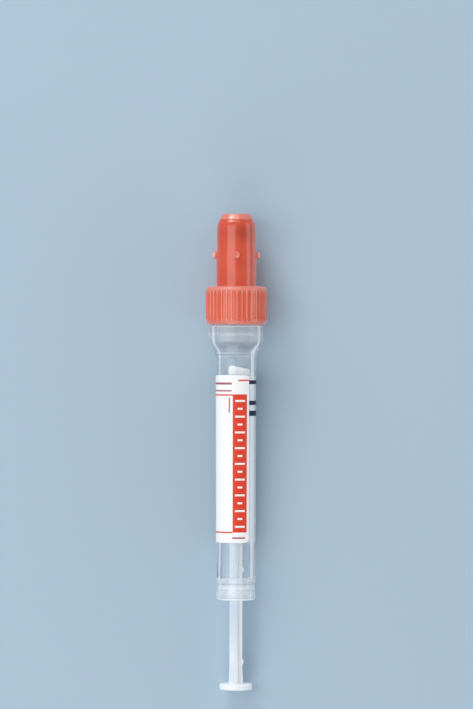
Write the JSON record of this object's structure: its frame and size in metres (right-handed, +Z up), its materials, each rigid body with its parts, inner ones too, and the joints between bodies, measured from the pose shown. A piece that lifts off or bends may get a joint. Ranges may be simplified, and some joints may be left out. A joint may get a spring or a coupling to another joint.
{
  "type": "blood collection tube",
  "caption": "Syringe-type blood collection tube lying on its side: clear tube with a ribbed screw cap, bayonet nose, paper label, piston and thumb-disc rod.",
  "frame": {"origin": "centre of the bounding box at the table surface that the tube lies on", "axes": "+Y along the tube towards the cap, with the tube's axis rising 2.2 degrees to the cap; +Z up, the side of the label that shows the coloured band; +X to the right of the label"},
  "size_m": [0.0128, 0.1006, 0.0131],
  "materials": {
    "clear_plastic": "clear polished moulding",
    "label_paper": "smooth printed paper",
    "cap_plastic": "satin, slightly see-through moulding",
    "membrane_rubber": "matt soft rubber",
    "milky_plastic": "milky natural moulding",
    "dry_additive": "dry matt"
  },
  "bodies": {
    "tube": {"tube_barrel": "clear_plastic", "label": "label_paper"},
    "piston": {"piston_head": "milky_plastic", "additive_plug": "dry_additive"},
    "rod": {"piston_rod": "milky_plastic"},
    "stopper": {"membrane": "membrane_rubber"},
    "cap": {"screw_cap": "cap_plastic"}
  },
  "joints": [
    {"name": "plunger_slide", "type": "slide", "parent": "tube", "child": "piston", "axis": [0, -0.9993, -0.0387], "range_m": [-0.004, 0.0395]},
    {"name": "rod_spin", "type": "hinge", "parent": "piston", "child": "rod", "pos_m": [0, 0.01334, 0.00589], "axis": [0, 0.9993, 0.0387], "continuous": true},
    {"name": "cap_lift", "type": "slide", "parent": "tube", "child": "stopper", "axis": [0, 0.9993, 0.0387], "range_m": [0, 0.009]},
    {"name": "cap_turn", "type": "hinge", "parent": "stopper", "child": "cap", "pos_m": [0, 0.03403, 0.00669], "axis": [0, 0.9993, 0.0387], "range_deg": [0, 1081]}
  ],
  "couplings": [
    {"joint": "cap_turn", "follows": "cap_lift", "rad_per_m": 2094.4}
  ]
}
